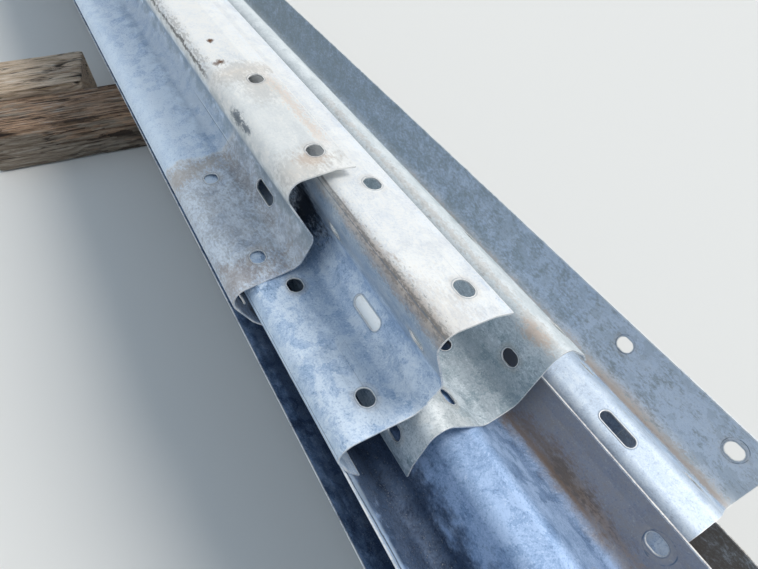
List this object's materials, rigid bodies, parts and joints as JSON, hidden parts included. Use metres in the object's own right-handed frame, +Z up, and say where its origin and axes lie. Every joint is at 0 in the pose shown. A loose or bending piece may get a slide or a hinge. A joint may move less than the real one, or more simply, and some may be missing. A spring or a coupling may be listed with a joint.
{
  "type": "stack of guardrail sections",
  "caption": "Stack of used galvanised W-beam highway guardrail sections, laid lengthwise and leaning on one another across timber bearers.",
  "frame": {"origin": "on the ground, at the middle of the box around the whole stack", "axes": "+Z up, +Y along the rails away from the staggered near ends in the picture, +X to the right seen from those ends"},
  "size_m": [1.235, 8.7574, 0.7332],
  "materials": {
    "galvanised_steel": "weathered hot-dip galvanised, matt to dull sheen, stained",
    "weathered_timber": "rough sawn, weathered"
  },
  "bodies": {
    "root": {"right_base_rail": "galvanised_steel", "right_base_rail_nested": "galvanised_steel", "left_base_rail": "galvanised_steel", "right_upturned_rail": "galvanised_steel", "left_upturned_rail": "galvanised_steel", "right_outer_rail": "galvanised_steel", "front_rail": "galvanised_steel", "middle_rail": "galvanised_steel", "leaning_rail": "galvanised_steel", "top_rail": "galvanised_steel", "near_bearer": "weathered_timber", "far_bearer": "weathered_timber", "spare_timber": "weathered_timber"}
  },
  "joints": []
}
